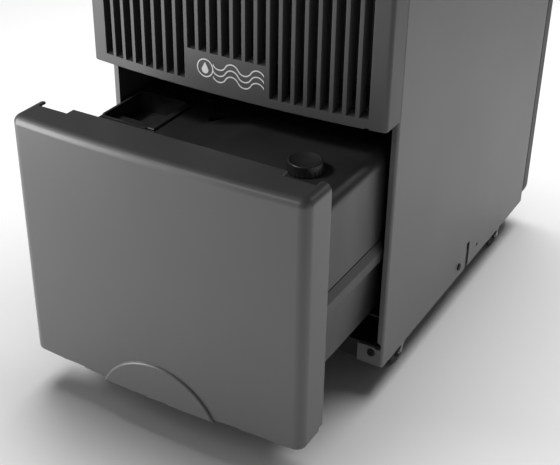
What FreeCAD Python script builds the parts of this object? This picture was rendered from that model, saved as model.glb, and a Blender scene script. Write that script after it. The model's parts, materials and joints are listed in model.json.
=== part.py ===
import FreeCAD, Part
import math
import os

from FreeCAD import Vector

# Drawer-tank dehumidifier on castors, in millimetres.
# z = 0 is the floor and y = 0 the front plane of the side panels; the front faces -Y.
# At export everything moves along Y, so that the origin is at the middle of the footprint.

# ---- overall ----
cabinet_width = 370.0
cabinet_depth = 492.0
cabinet_height = 600.0   # from the side panels' lower edge to the top
wheel_radius = 20.0
sheet = 1.2              # steel sheet
seam = 0.4               # gap where two covers meet
moving_gap = 0.35        # gap between pieces that move past each other
running_gap = 0.05       # radial gap of a running fit
over = 1.0               # how far a cutter runs past the face that it opens

half_width = cabinet_width / 2
edge_z = 2 * wheel_radius + 4.0     # lower edge of the side panels above the floor

# ---- base pan ----
pan_wall = 3.0
pan_skirt_z = edge_z + 3.0
pan_floor_z = edge_z + 8.0
pan_rim_z = edge_z + 27.0
pan_deck_z = pan_floor_z + pan_wall

# ---- side panels ----
front_flange = 7.9
rear_flange = 12.0
bend_radius = 3.0
tab_width = 33.0
tab_height = 25.0
rear_cover_depth = 23.0
rear_cover_wall = 2.0
rear_bottom_radius = 20.0
slit_y = 251.0
slit_width = 9.5
slit_height = 39.0
side_screw_y = 227.0
side_screw_z = edge_z + 16.0
plain_hole_y = 290.0
plain_hole_z = edge_z + 18.0
side_rear_y = cabinet_depth - rear_cover_depth

# ---- front grille ----
grille_depth = 31.5
grille_bow = 10.7
grille_bottom = edge_z + 317.0
grille_wall = 2.6
slat_pitch = 14.55
slat_face = 4.3
slat_depth = 13.0
slot_border = 10.0
slot_ramp = 0.2          # rise of a slot's lower end for each millimetre of depth
slot_edge_gap = 22.0     # least distance from a slot's middle to the side
slot_side = int((half_width - slot_edge_gap) / slat_pitch)      # slots each side of the middle one
badge_slots = 3          # slots each side of the middle one that stop above the badge
badge_top = edge_z + 363.0
grille_face = -grille_depth

# ---- emblem ----
ring_x = -26.0
ring_radius = 10.5
emblem_line = 1.4
wave_start = -16.0
wave_pitch = 15.7
wave_radius = 9.0
wave_spacing = 7.0
emblem_relief = 0.35

# ---- top cover ----
cover_height = 44.0
cover_wall = 3.0
cover_radius = 7.0
cover_corner = 9.0
grip_length = 120.0
grip_height = 24.0
grip_depth = 27.0
grip_above_edge = 8.0    # hand grip above the cover's lower edge
grip_y = cabinet_depth / 2 + 4.0
fascia_half = half_width - 75.0
fascia_front = -12.0
fascia_rear = 48.0
fascia_thick = 2.0
fascia_gap = 0.15
button_radius = 7.5
button_travel = 1.2
button_pitch = 25.0
button_count = 4
button_first_x = fascia_half - 13.0 - (button_count - 1) * button_pitch
display_left = -fascia_half + 14.0
display_right = button_first_x - 34.0
display_margin = 14.0
cover_low = edge_z + cabinet_height - cover_height
cover_top = edge_z + cabinet_height
grille_top = cover_low - seam

# ---- water tank ----
pull_out = 136.6         # how far the tank stands out of the cabinet as it is shown
tank_front_half = half_width - 5.0
tank_flange = 45.8
tank_flange_gap = 1.0    # between the tank front and the cabinet when the tank is pushed home
tank_bow = 5.8
tank_front_low = edge_z + 5.6
tank_front_high = edge_z + 308.5
tank_front_wall = 2.6
tank_front_corner = 12.0
tank_front_top_edge = 9.0
tank_front_low_edge = 5.0
pad_relief = 3.0
pad_edge = 2.5
pad_chord = 148.0
pad_rise = 48.4
finger_half = 55.0
finger_depth = 22.0
notch_outer = tank_front_half - 11.0
notch_inner = notch_outer - 38.0
notch_depth = 11.0
belt_half = half_width - 9.8
tank_half = belt_half - 4.2
tank_waist_half = tank_half - 1.2
tank_foot_half = tank_half - 7.0
tank_foot_round = 5.0
tank_wall = 2.4
tank_bottom = edge_z + 65.0
belt_low_z = edge_z + 147.0
belt_high_z = edge_z + 160.0
tank_corner = 16.0
lid_seam_z = edge_z + 170.5
lid_groove = 1.5         # shadow groove between the tank and its lid
lid_lip = 8.0            # how far the lid's lip reaches down into the tank
low_deck_z = edge_z + 255.0
high_deck_z = edge_z + 280.0
slope_low_x = -60.0
slope_high_x = 15.0
lid_edge_radius = 16.0
lid_wall = 2.5
tank_face = grille_face - (tank_flange - grille_depth) - tank_flange_gap - pull_out
tank_inner_front = tank_face + tank_front_wall
machine_bay_depth = 252.0
bay_gap = 11.2           # between the tank pushed home and the bay's rear wall
bay_wall_y = cabinet_depth - machine_bay_depth
tank_rear = bay_wall_y - bay_gap - pull_out

# ---- lid fittings ----
pocket_left = -(tank_half - 4.0)
pocket_right = pocket_left + 64.0
pocket_rear = tank_rear - 59.2
pocket_step_y = pocket_rear - 50.0
pocket_front = pocket_rear - 79.0
pocket_shelf = 10.0
pocket_depth = 24.0
pocket_corner = 5.0
pocket_far_corner = 12.0
rim_width = 3.0
rim_height = 2.0
ridge_width = 9.5
ridge_height = 3.0
ridge_bend = 31.0
ridge_sweep = 62.0       # degrees that the ridge turns round behind the pocket
drip_x = -46.0
drip_y = tank_rear - 80.7
drip_radius = 12.0
drip_collar = 3.0
cap_x = tank_half - 51.5
cap_y = tank_inner_front + 99.8
cap_radius = 19.8
cap_draft = 1.3
cap_rise = 12.5
cap_dish = 4.5
cap_plug_radius = 14.0
cap_plug_length = 8.7
neck_wall = 4.0
neck_rise = 1.2
rail_width = 30.0
rail_thick = 2.0
float_x = tank_half - 51.0
float_y = tank_rear - 52.2
float_radius = 20.0
float_height = 26.0
float_rod_radius = 3.0

# ---- air path ----
shelf_z = edge_z + 318.0
shelf_sheet = 1.5
shelf_top_z = shelf_z + shelf_sheet
coil_half = half_width - 35.0
coil_low = edge_z + 347.0
coil_high = cover_low - 11.0
evaporator_y = 18.0
condenser_y = 66.0
coil_depth = 34.0
coil_tube = 4.5
coil_rows = 5
coil_end = 12.0          # return bends beside the fin block
end_plate = 2.0
fan_z = (coil_low + coil_high) / 2
fan_radius = (coil_high - coil_low) / 2 - 9.0
fan_hub_radius = 30.0
fan_hub_length = 26.0
fan_blades = 5
fan_tip_gap = 4.0
shroud_y = 122.0
shroud_depth = 34.0
fan_y = shroud_y + 20.0
shaft_radius = 4.0
motor_radius = 38.0
motor_length = 58.0
motor_front_y = shroud_y + shroud_depth + 4.0

# ---- refrigerant circuit ----
compressor_x = -half_width + 115.0
compressor_y = cabinet_depth - 142.0
compressor_radius = 58.0
compressor_height = 205.0
compressor_foot_radius = 70.0
mount_height = 14.0
compressor_low = pan_deck_z + mount_height
accumulator_radius = 20.0
accumulator_height = 120.0
accumulator_x = compressor_x - compressor_radius - accumulator_radius - 2.0
accumulator_y = compressor_y - 20.0
accumulator_low = pan_deck_z + 70.0
pipe_radius = 4.0
pipe_bend = 10.0
side_pipe_x = coil_half + 14.0
control_box_right = half_width - 13.0
control_box_left = half_width - 130.0
control_box_rear = cabinet_depth - 52.0
control_box_front = control_box_rear - 155.0
control_box_height = 130.0
control_box_wall = 3.0

# ---- castors ----
castor_x = half_width - 24.0
castor_front_y = 89.0
castor_rear_y = side_rear_y - 56.0
castor_trail = 14.0
castor_plate_half = 18.0
castor_plate_reach = 25.0
wheel_width = 22.0
axle_radius = 2.5
fork_sheet = 2.0
fork_gap = 1.0           # between the wheel's side and the fork
kingpin_radius = 4.0
race_height = 2.4
plate_sheet = 2.2
fork_top = pan_floor_z - plate_sheet - race_height - moving_gap

# ---- rear fittings ----
spout_radius = 8.0
spout_length = 20.0
spout_root = 14.0
spout_x = -(half_width - 65.0)
spout_z = edge_z + 90.0
inlet_x = half_width - 67.0
inlet_z = edge_z + 90.0
inlet_half = 14.0
inlet_high = 10.5
rear_slot_end = half_width - 59.0
rear_slot_first_z = edge_z + 338.0
rear_slot_pitch = 13.0
rear_slot_height = 6.0
low_slot_first_z = edge_z + 190.0
low_slot_rows = 6
screw_head_radius = 5.0
screw_head_height = 2.2
shank_radius = 1.7

# ---- frame of the finished part ----
front_most = tank_face - tank_bow - pad_relief
rear_most = cabinet_depth + spout_length
shift_y = -(front_most + rear_most) / 2

parts = {}


def box(x0, x1, y0, y1, z0, z1):
    return Part.makeBox(x1 - x0, y1 - y0, z1 - z0, Vector(x0, y0, z0))


def rod(radius, start, end):
    direction = Vector(*end) - Vector(*start)
    return Part.makeCylinder(radius, direction.Length, Vector(*start), direction)


def post(radius, x, y, low, high):
    """An upright cylinder."""
    return Part.makeCylinder(radius, high - low, Vector(x, y, low))


def extrude(points, travel):
    """A prism on a closed outline of straight edges."""
    outline = [Vector(*point) for point in points]
    return Part.Face(Part.makePolygon(outline + [outline[0]])).extrude(Vector(*travel))


def fuse(shapes):
    shapes = list(shapes)
    body = shapes[0]
    if len(shapes) > 1:
        body = body.fuse(shapes[1:])
    return body.removeSplitter()


def round_edges(shape, radius, wanted):
    """Fillet the edges whose middle point and direction the test accepts."""
    picked = []
    for edge in shape.Edges:
        middle = edge.valueAt((edge.FirstParameter + edge.LastParameter) / 2)
        along = edge.tangentAt((edge.FirstParameter + edge.LastParameter) / 2)
        if wanted(middle, along):
            picked.append(edge)
    return shape.makeFillet(radius, picked)


def near(a, b):
    return abs(a - b) < 0.01


def mirrored(shape):
    return shape.mirror(Vector(0, 0, 0), Vector(1, 0, 0))


def bowed_outline(half, face_y, bow, back_y, z):
    """Plan outline of a panel whose front face bows out at the middle."""
    left = Vector(-half, face_y, z)
    right = Vector(half, face_y, z)
    back_left = Vector(-half, back_y, z)
    back_right = Vector(half, back_y, z)
    front = Part.Arc(left, Vector(0, face_y - bow, z), right).toShape()
    sides = [Part.makeLine(right, back_right), Part.makeLine(back_right, back_left),
             Part.makeLine(back_left, left)]
    return Part.Face(Part.Wire([front] + sides))


def bowed_block(half, face_y, bow, back_y, low, high, corner, top, bottom):
    """A solid panel with a bowed front, rounded front corners and rounded top and bottom edges."""
    block = bowed_outline(half, face_y, bow, back_y, low).extrude(Vector(0, 0, high - low))
    if corner:
        block = round_edges(block, corner, lambda p, d: near(abs(d.z), 1) and near(p.y, face_y))
    if top:
        block = round_edges(block, top, lambda p, d: near(p.z, high) and p.y < back_y - 0.01)
    if bottom:
        block = round_edges(block, bottom, lambda p, d: near(p.z, low) and p.y < back_y - 0.01)
    return block


def rounded_rectangle(half_x, y0, y1, radius, z):
    """Closed wire of a rectangle with round corners, centred on x = 0."""
    x0, x1 = -half_x, half_x
    corners = [(x1 - radius, y0 + radius, -90), (x1 - radius, y1 - radius, 0),
               (x0 + radius, y1 - radius, 90), (x0 + radius, y0 + radius, 180)]
    edges = []
    ends = []
    for cx, cy, start in corners:
        points = []
        for step in (0, 45, 90):
            angle = math.radians(start + step)
            points.append(Vector(cx + radius * math.cos(angle), cy + radius * math.sin(angle), z))
        ends.append((points[0], points[2]))
        edges.append(Part.Arc(*points).toShape())
    loop = []
    for index, edge in enumerate(edges):
        loop.append(edge)
        loop.append(Part.makeLine(ends[index][1], ends[(index + 1) % 4][0]))
    return Part.Wire(loop)


def tower(levels):
    """Stacked tapering blocks between rounded rectangles, from (z, half_x, y0, y1, radius) rows."""
    wires = [rounded_rectangle(half, y0, y1, radius, z) for z, half, y0, y1, radius in levels]
    return fuse(Part.makeLoft([low, high], True, True) for low, high in zip(wires, wires[1:]))


def tube_along(points, radius, bend):
    """A round bar along straight runs joined by tangent arcs."""
    points = [Vector(*point) for point in points]
    edges = []
    start = points[0]
    for before, corner, after in zip(points, points[1:], points[2:]):
        to_corner = (corner - before).normalize()
        from_corner = (after - corner).normalize()
        turn = to_corner.getAngle(from_corner)
        reach = bend * math.tan(turn / 2)
        arc_start = corner - to_corner * reach
        arc_end = corner + from_corner * reach
        inward = (from_corner - to_corner).normalize()
        middle = corner + inward * (bend / math.cos(turn / 2) - bend)
        edges.append(Part.makeLine(start, arc_start))
        edges.append(Part.Arc(arc_start, middle, arc_end).toShape())
        start = arc_end
    edges.append(Part.makeLine(start, points[-1]))
    path = Part.Wire(edges)
    section = Part.Wire(Part.makeCircle(radius, points[0], points[1] - points[0]))
    return path.makePipeShell([section], True, True)


# ---------------------------------------------------------------- cabinet

def base_pan():
    half = half_width - sheet - seam
    front = sheet + seam
    rear = side_rear_y - sheet - seam
    pan = box(-half, half, front, rear, pan_skirt_z, pan_rim_z)
    pan = round_edges(pan, bend_radius, lambda p, d: near(abs(d.z), 1))
    inner = half - pan_wall
    pan = pan.cut(box(-inner, inner, front + pan_wall, rear - pan_wall, pan_deck_z, pan_rim_z + over))
    pan = pan.cut(box(-inner, inner, front + pan_wall, rear - pan_wall, pan_skirt_z - over, pan_floor_z))
    ribs = []
    for share in (0.42, 0.64):
        y = front + share * (rear - front)
        ribs.append(box(-inner, inner, y, y + pan_wall, pan_skirt_z, pan_floor_z))
    return fuse([pan] + ribs)


def side_panel():
    """The right-hand panel; the left one is its mirror image."""
    low = edge_z
    high = cover_low - seam
    tab = half_width - tab_width
    outer = box(tab, half_width, 0, side_rear_y, low, high)
    outer = round_edges(outer, bend_radius, lambda p, d: near(abs(d.z), 1) and near(p.x, half_width))
    inside = box(tab - over, half_width - sheet, sheet, side_rear_y - sheet, low - over, high - sheet)
    inside = round_edges(inside, bend_radius - sheet,
                         lambda p, d: near(abs(d.z), 1) and near(p.x, half_width - sheet))
    panel = outer.cut(inside)
    flange_edge = half_width - front_flange
    tab_z = low + tab_height
    relief_radius = 5.0
    panel = panel.cut(box(tab - over, flange_edge, -over, sheet + over / 2, tab_z, high + over))
    panel = panel.cut(rod(relief_radius, (flange_edge, -over, tab_z + 3),
                          (flange_edge, sheet + over / 2, tab_z + 3)))
    panel = panel.cut(box(tab - over, half_width - rear_flange, sheet + over, side_rear_y + over,
                          low - over, high + over))
    panel = panel.cut(box(half_width - sheet - over, half_width + over, slit_y, slit_y + slit_width,
                          low - over, low + slit_height))
    for y, z, radius in ((side_screw_y, side_screw_z, shank_radius + 0.5), (plain_hole_y, plain_hole_z, 2.6)):
        panel = panel.cut(rod(radius, (half_width - 2 * sheet, y, z), (half_width + over, y, z)))
    return panel


def rear_cover():
    low = edge_z
    high = cover_low - seam
    face = cabinet_depth
    start = side_rear_y + seam
    wall = rear_cover_wall
    corner = bend_radius + 3.0

    def tray(inset):
        block = box(-half_width + inset, half_width - inset, start - inset, face - inset,
                    low + inset, high - inset)
        block = round_edges(block, corner - inset, lambda p, d: near(abs(d.z), 1) and near(p.y, face - inset))
        return round_edges(block, rear_bottom_radius - inset,
                           lambda p, d: near(p.z, low + inset) and p.y > start + 1)

    cover = tray(0).cut(tray(wall))
    slots = []
    slot_front = face - wall - over
    rows = int((cover_low - 18.0 - rear_slot_first_z) / rear_slot_pitch)
    for row in range(rows):
        z = rear_slot_first_z + row * rear_slot_pitch
        slots.append(box(-rear_slot_end, -10, slot_front, face + over, z, z + rear_slot_height))
        slots.append(box(10, rear_slot_end, slot_front, face + over, z, z + rear_slot_height))
    for row in range(low_slot_rows):
        z = low_slot_first_z + row * rear_slot_pitch
        slots.append(box(-rear_slot_end, rear_slot_end, slot_front, face + over, z, z + rear_slot_height))
    cover = cover.cut(Part.makeCompound(slots))
    cover = cover.cut(rod(spout_radius + 1.0, (spout_x, slot_front, spout_z), (spout_x, face + over,
                                                                               spout_z)))
    gap = 0.2
    return cover.cut(box(inlet_x - inlet_half - gap, inlet_x + inlet_half + gap, slot_front, face + over,
                         inlet_z - inlet_high - gap, inlet_z + inlet_high + gap))


def top_cover():
    low = cover_low
    high = cover_top
    wall = cover_wall

    def shell(inset):
        block = bowed_outline(half_width - inset, grille_face + inset, grille_bow, cabinet_depth - inset, low)
        block = block.extrude(Vector(0, 0, high - inset - low))
        block = round_edges(block, cover_corner - inset, lambda p, d: near(abs(d.z), 1))
        return round_edges(block, cover_radius - inset, lambda p, d: near(p.z, high - inset))

    inner = shell(wall)
    inner = inner.fuse(inner.translated(Vector(0, 0, -5))).removeSplitter()
    cover = shell(0).cut(inner)
    border = 4.0
    panel_block = box(-fascia_half - border, fascia_half + border, fascia_front - border,
                      fascia_rear + border,
                      high - fascia_thick - wall, high - over)
    cover = cover.fuse(panel_block)
    cover = cover.cut(box(-fascia_half, fascia_half, fascia_front, fascia_rear, high - fascia_thick,
                          high + over))
    for side in (-1, 1):
        cover = hand_grip(cover, side)
    return cover.cut(Part.makeCompound([button_hole(index, high - 10) for index in range(button_count)]))


def hand_grip(cover, side):
    """Adds the cup of one hand grip and hollows it out."""
    low = cover_low + grip_above_edge
    high = low + grip_height
    front = grip_y - grip_length / 2
    rear = grip_y + grip_length / 2
    wall = cover_wall
    inner = side * (half_width - grip_depth)
    cup_x = sorted((inner, side * half_width))
    block_x = sorted((inner - side * wall, side * (half_width - over)))
    cup = box(cup_x[0], cup_x[1], front, rear, low, high)
    cup = round_edges(cup, 6.0, lambda p, d: near(abs(d.x), 1))
    block = box(block_x[0], block_x[1], front - wall, rear + wall, low - wall, high + wall)
    return cover.fuse(block).cut(cup).removeSplitter()


def button_place(index):
    return button_first_x + index * button_pitch, (fascia_front + fascia_rear) / 2


def button_hole(index, low):
    x, y = button_place(index)
    return rod(button_radius + moving_gap, (x, y, low), (x, y, cover_top + over))


def slot_cutter(index):
    """One tall slot through the slatted face, with a sloping lower end."""
    x = index * slat_pitch
    width = slat_pitch - slat_face
    low = grille_bottom + slot_border
    if abs(index) <= badge_slots:
        low = badge_top
    high = grille_top - slot_border
    front = grille_face - grille_bow - over
    back = grille_face + slat_depth + over
    points = [(x - width / 2, front, low), (x - width / 2, back, low + (back - front) * slot_ramp),
              (x - width / 2, back, high), (x - width / 2, front, high)]
    return extrude(points, (width, 0, 0))


def front_grille():
    back = -seam
    wall = grille_wall
    corner = 5.0
    outer = bowed_block(half_width, grille_face, grille_bow, back, grille_bottom, grille_top, corner, 1.2,
                        1.6)
    inner = bowed_block(half_width - wall, grille_face + wall, grille_bow, back + over,
                        grille_bottom + wall, grille_top - wall, corner - wall, 0, 0)
    grille = outer.cut(inner)
    span = (slot_side + 1) * slat_pitch
    rise = Vector(0, 0, grille_top - grille_bottom)
    slat_back = grille_face + slat_depth
    thick = bowed_outline(half_width - wall, grille_face + 0.5, grille_bow, slat_back, grille_bottom)
    hollow = bowed_outline(half_width - wall, slat_back, grille_bow, back + over, grille_bottom)
    slab = thick.extrude(rise).cut(hollow.extrude(rise))
    slab = slab.common(box(-span, span, grille_face - grille_bow, 0, grille_bottom + 2, grille_top - 2))
    grille = grille.fuse(slab)
    grille = grille.cut(Part.makeCompound([slot_cutter(i) for i in range(-slot_side, slot_side + 1)]))
    rib_z = (badge_top + grille_top) / 2
    rib_depth = 3.0
    rib = slab.common(slab.translated(Vector(0, slat_depth - rib_depth, 0)))
    grille = grille.fuse(rib.common(box(-span, span, grille_face - grille_bow, 0, rib_z, rib_z + 4)))
    notch_x = half_width - 25
    notch = box(notch_x, notch_x + 6, grille_face - 8, grille_face + 6, grille_bottom - over,
                grille_bottom + 2)
    return grille.cut(notch).removeSplitter()


def wave_crest(x, z, side):
    """One arc of a wave: a thin half ring above or below its level."""
    half = wave_pitch / 2
    centre_z = z - side * math.sqrt(wave_radius ** 2 - half ** 2)
    front = grille_face - 2 * grille_bow
    start = (x, front, centre_z)
    end = (x, 0, centre_z)
    ring = rod(wave_radius + emblem_line / 2, start, end).cut(rod(wave_radius - emblem_line / 2, start, end))
    z_ends = sorted((z - side * 0.6, z + side * wave_radius))
    return ring.common(box(x - half, x + half, front, 0, z_ends[0], z_ends[1]))


def emblem():
    """A raised mark on the badge field: a drop in a ring beside three waves."""
    z = (grille_bottom + badge_top) / 2 + 5.5
    front = grille_face - 2 * grille_bow
    start = (ring_x, front, z)
    end = (ring_x, 0, z)
    ring = rod(ring_radius, start, end).cut(rod(ring_radius - emblem_line, start, end))
    drop = rod(4.3, (ring_x, front, z - 2), (ring_x, 0, z - 2))
    tip = extrude([(ring_x - 4.1, front, z - 0.8), (ring_x + 4.1, front, z - 0.8), (ring_x, front, z + 7)],
                  (0, -front, 0))
    shapes = [ring, drop.fuse(tip)]
    for level in (-wave_spacing, 0.0, wave_spacing):
        for step in range(4):
            side = 1 if step % 2 else -1
            shapes.append(wave_crest(wave_start + (step + 0.5) * wave_pitch, z - 1 + level, side))
    mark = fuse(shapes)
    low = z - 25
    rise = Vector(0, 0, 50)
    skin = bowed_outline(half_width, grille_face - emblem_relief, grille_bow, 0, low).extrude(rise)
    face = bowed_outline(half_width, grille_face, grille_bow, 0, low).extrude(rise)
    return mark.common(skin.cut(face))


# ---------------------------------------------------------------- tank

def pull_pad():
    """The crescent that stands out of the tank front over the finger opening, its edge rounded."""
    radius = (pad_rise ** 2 + (pad_chord / 2) ** 2) / (2 * pad_rise)
    crest = tank_front_low + pad_rise
    face = tank_face - pad_relief
    back = tank_face + tank_front_wall
    plan = bowed_outline(tank_front_half, face, tank_bow, back, tank_front_low)
    disc = rod(radius, (0, face - tank_bow - over, crest - radius), (0, back, crest - radius))
    pad = plan.extrude(Vector(0, 0, pad_rise + over)).common(disc)
    return round_edges(pad, pad_edge, lambda p, d: p.y < face - over)


def tank_front():
    back = tank_face + tank_flange
    half = tank_front_half
    wall = tank_front_wall
    low = tank_front_low
    high = tank_front_high
    outer = bowed_block(half, tank_face, tank_bow, back, low, high,
                        tank_front_corner, tank_front_top_edge, tank_front_low_edge)
    inner = bowed_block(half - wall, tank_face + wall, tank_bow, back, low + wall, high - wall,
                        tank_front_corner - wall, tank_front_top_edge - wall, tank_front_low_edge - wall)
    inner = inner.fuse(inner.translated(Vector(0, 3, 0)))
    front = outer.fuse(pull_pad()).cut(inner)
    finger_y = tank_face + wall
    front = front.cut(box(-finger_half, finger_half, finger_y, finger_y + finger_depth,
                          low - over, low + wall + over))
    for side in (-1, 1):
        x0, x1 = sorted((side * notch_inner, side * notch_outer))
        front = front.cut(box(x0, x1, back - notch_depth, back + over, high - wall - over, high + over))
        x0, x1 = sorted((side * (half - wall - over), side * (half + over)))
        front = front.cut(box(x0, x1, back - 8, back + over, low - over, low + 8))
    return front.removeSplitter()


def tank_block(wall):
    """The tank's outer shape, drawn in by the wall: a tapering foot and a belt that stands out above it."""
    y0 = tank_inner_front + wall
    y1 = tank_rear - wall
    corner = tank_corner - wall
    base = tank_bottom + wall
    foot = tank_foot_round
    lower = tower([(base, tank_foot_half - foot - wall, y0 + foot, y1 - foot, corner),
                   (base + foot, tank_foot_half - wall, y0, y1, corner),
                   (belt_low_z + wall, tank_waist_half - wall, y0, y1, corner)])
    belt = tower([(belt_low_z + wall, belt_half - wall, y0, y1, corner),
                  (belt_high_z, belt_half - wall, y0, y1, corner),
                  (lid_seam_z, tank_half - wall, y0, y1, corner)])
    return fuse([lower, belt])


def tank_prism(inset, low, high):
    """A straight block on the tank's outline, drawn in by the inset."""
    outline = rounded_rectangle(tank_half - inset, tank_inner_front + inset, tank_rear - inset,
                                tank_corner - inset, low)
    return Part.Face(outline).extrude(Vector(0, 0, high - low))


def tank_ring(inset, thick, low, high):
    """An upright band that follows the tank's outline, its outer face drawn in by the inset."""
    return tank_prism(inset, low, high).cut(tank_prism(inset + thick, low, high))


def tank_body():
    mouth = tank_prism(tank_wall, lid_seam_z - over / 2, lid_seam_z + over)
    return tank_block(0).cut(tank_block(tank_wall)).cut(mouth)


def lid_profile(inset, low):
    """The lid's section: a low deck, a slope and a high deck with a rounded right edge."""
    y0 = tank_inner_front
    half = tank_half - inset
    high = high_deck_z - inset
    deck = low_deck_z - inset
    radius = lid_edge_radius - inset
    centre = Vector(half - radius, y0, high - radius)
    arc = Part.Arc(Vector(half - radius, y0, high),
                   centre + Vector(radius * math.sin(math.pi / 4), 0, radius * math.cos(math.pi / 4)),
                   Vector(half, y0, high - radius)).toShape()
    corners = [(half, high - radius), (half, low), (-half, low), (-half, deck), (slope_low_x, deck),
               (slope_high_x, high), (half - radius, high)]
    points = [Vector(x, y0, z) for x, z in corners]
    lines = [Part.makeLine(a, b) for a, b in zip(points, points[1:])]
    return Part.Face(Part.Wire([arc] + lines)).extrude(Vector(0, tank_rear - y0, 0))


def lid_shell():
    """The deep cover: walls, decks, and a lip that fits inside the tank's mouth."""
    low = lid_seam_z + lid_groove
    wall = lid_wall
    outer = lid_profile(0, low).common(tank_prism(0, low, high_deck_z + over))
    inner = lid_profile(wall, low - over).common(tank_prism(wall, low - over, high_deck_z + over))
    lip_inset = tank_wall + moving_gap
    lip_thick = 2.0
    shelf = tank_ring(lid_groove, lip_inset + lip_thick - lid_groove, lid_seam_z, low + lid_groove)
    lip = tank_ring(lip_inset, lip_thick, lid_seam_z - lid_lip, low)
    return outer.cut(inner).fuse([shelf, lip])


def pocket_plan(grow, front, z):
    """Plan of the lid's pocket: the rear left corner has the larger radius."""
    small = pocket_corner + grow
    x0 = pocket_left - grow
    x1 = pocket_right + grow
    y0 = front - grow
    y1 = pocket_rear + grow
    block = box(x0, x1, y0, y1, z, z + 1)
    block = round_edges(block, pocket_far_corner + grow,
                        lambda p, d: near(abs(d.z), 1) and near(p.x, x0) and near(p.y, y1))
    block = round_edges(block, small,
                        lambda p, d: near(abs(d.z), 1) and (near(p.x, x1) or near(p.y, y0)))
    for face in block.Faces:
        if near(face.CenterOfMass.z, z):
            return face


def pocket_block(grow, front, low, high):
    return pocket_plan(grow, front, low).extrude(Vector(0, 0, high - low))


def pocket_ridge():
    """The raised band beside the pocket, which turns round behind it."""
    inner = ridge_bend - ridge_width / 2
    outer = ridge_bend + ridge_width / 2
    centre = Vector(pocket_right + ridge_width / 2 + ridge_bend, pocket_rear, low_deck_z - 1)
    front = pocket_front - 2.0

    def at(radius, degrees):
        angle = math.radians(180 - degrees)
        return centre + Vector(radius * math.cos(angle), radius * math.sin(angle), 0)

    half = ridge_sweep / 2
    start_out = Vector(at(outer, 0).x, front, centre.z)
    start_in = Vector(at(inner, 0).x, front, centre.z)
    edges = [Part.makeLine(start_out, at(outer, 0)),
             Part.Arc(at(outer, 0), at(outer, half), at(outer, ridge_sweep)).toShape(),
             Part.makeLine(at(outer, ridge_sweep), at(inner, ridge_sweep)),
             Part.Arc(at(inner, ridge_sweep), at(inner, half), at(inner, 0)).toShape(),
             Part.makeLine(at(inner, 0), start_in),
             Part.makeLine(start_in, start_out)]
    band = Part.Face(Part.Wire(edges)).extrude(Vector(0, 0, 1 + ridge_height))
    return round_edges(band, 2.0, lambda p, d: near(p.z, low_deck_z + ridge_height))


def tank_lid():
    lid = lid_shell()
    wall = lid_wall
    floor = low_deck_z - pocket_depth
    shelf_floor = low_deck_z - pocket_shelf
    cup = pocket_block(wall, pocket_step_y, floor - wall, low_deck_z - over / 2)
    shelf = pocket_block(wall, pocket_front, shelf_floor - wall, low_deck_z - over / 2)
    rim = pocket_block(rim_width, pocket_front, low_deck_z - over, low_deck_z + rim_height)
    # slightly raised collar round the drip hole, square to the slope
    slope = math.atan2(high_deck_z - low_deck_z, slope_high_x - slope_low_x)
    drip_z = low_deck_z + (drip_x - slope_low_x) * math.tan(slope)
    normal = Vector(-math.sin(slope), 0, math.cos(slope))
    drip = Vector(drip_x, drip_y, drip_z)
    collar = Part.makeCylinder(drip_radius + drip_collar, 4.2, drip - normal * 3.0, normal)
    neck_low = high_deck_z - cap_plug_length
    neck_high = high_deck_z + neck_rise
    neck = post(cap_plug_radius + neck_wall, cap_x, cap_y, neck_low, neck_high)
    guide = post(float_rod_radius, float_x, float_y, tank_bottom + tank_wall + 1.5, high_deck_z - wall / 2)
    lid = lid.fuse([cup, shelf, rim, pocket_ridge(), collar, neck, guide])
    top = low_deck_z + rim_height + over
    lid = lid.cut(pocket_block(0, pocket_step_y, floor, top)).cut(pocket_block(0, pocket_front, shelf_floor,
                                                                               top))
    lid = lid.cut(Part.makeCylinder(drip_radius, 20, drip - normal * 10, normal))
    lid = lid.cut(post(cap_plug_radius + moving_gap, cap_x, cap_y, neck_low - over, neck_high + over))
    return lid.removeSplitter()


def tank_cap():
    """A grooved cap, dished on top, with a plug that turns in the lid's neck."""
    seat = high_deck_z + neck_rise + moving_gap
    height = cap_rise - neck_rise
    top = seat + height
    top_radius = cap_radius - cap_draft
    cap = Part.makeCone(cap_radius, top_radius, height, Vector(cap_x, cap_y, seat))
    cap = round_edges(cap, 1.4, lambda p, d: near(p.z, top))
    rim = top_radius - 2.0
    dish_radius = (rim ** 2 + cap_dish ** 2) / (2 * cap_dish)
    cap = cap.cut(Part.makeSphere(dish_radius, Vector(cap_x, cap_y, top - cap_dish + dish_radius)))
    grooves = []
    groove_count = 24
    for index in range(groove_count):
        angle = 2 * math.pi * index / groove_count
        x = cap_x + (cap_radius + 0.5) * math.cos(angle)
        y = cap_y + (cap_radius + 0.5) * math.sin(angle)
        grooves.append(post(1.2, x, y, seat - over, top - 2.5))
    cap = cap.cut(Part.makeCompound(grooves))
    plug = post(cap_plug_radius, cap_x, cap_y, high_deck_z - cap_plug_length + over, seat + 0.5)
    return cap.fuse(plug).removeSplitter()


def tank_float():
    low = tank_bottom + tank_wall + moving_gap
    high = low + float_height
    body = post(float_radius, float_x, float_y, low, high)
    body = round_edges(body, 4.0, lambda p, d: True)
    return body.cut(post(float_rod_radius + 0.5, float_x, float_y, low - over, high + over))


def tank_rail():
    """Right-hand rail: an angle fixed to the side panel that carries the tank."""
    top = tank_bottom - moving_gap
    outer = half_width - sheet - seam
    front = 8.0
    rear = bay_wall_y - 2.0
    leg = box(outer - rail_thick, outer, front, rear, top - 24, top + 14)
    ledge = box(outer - rail_width, outer, front, rear, top - rail_thick, top)
    return leg.fuse(ledge).removeSplitter()


# ---------------------------------------------------------------- air path

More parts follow.
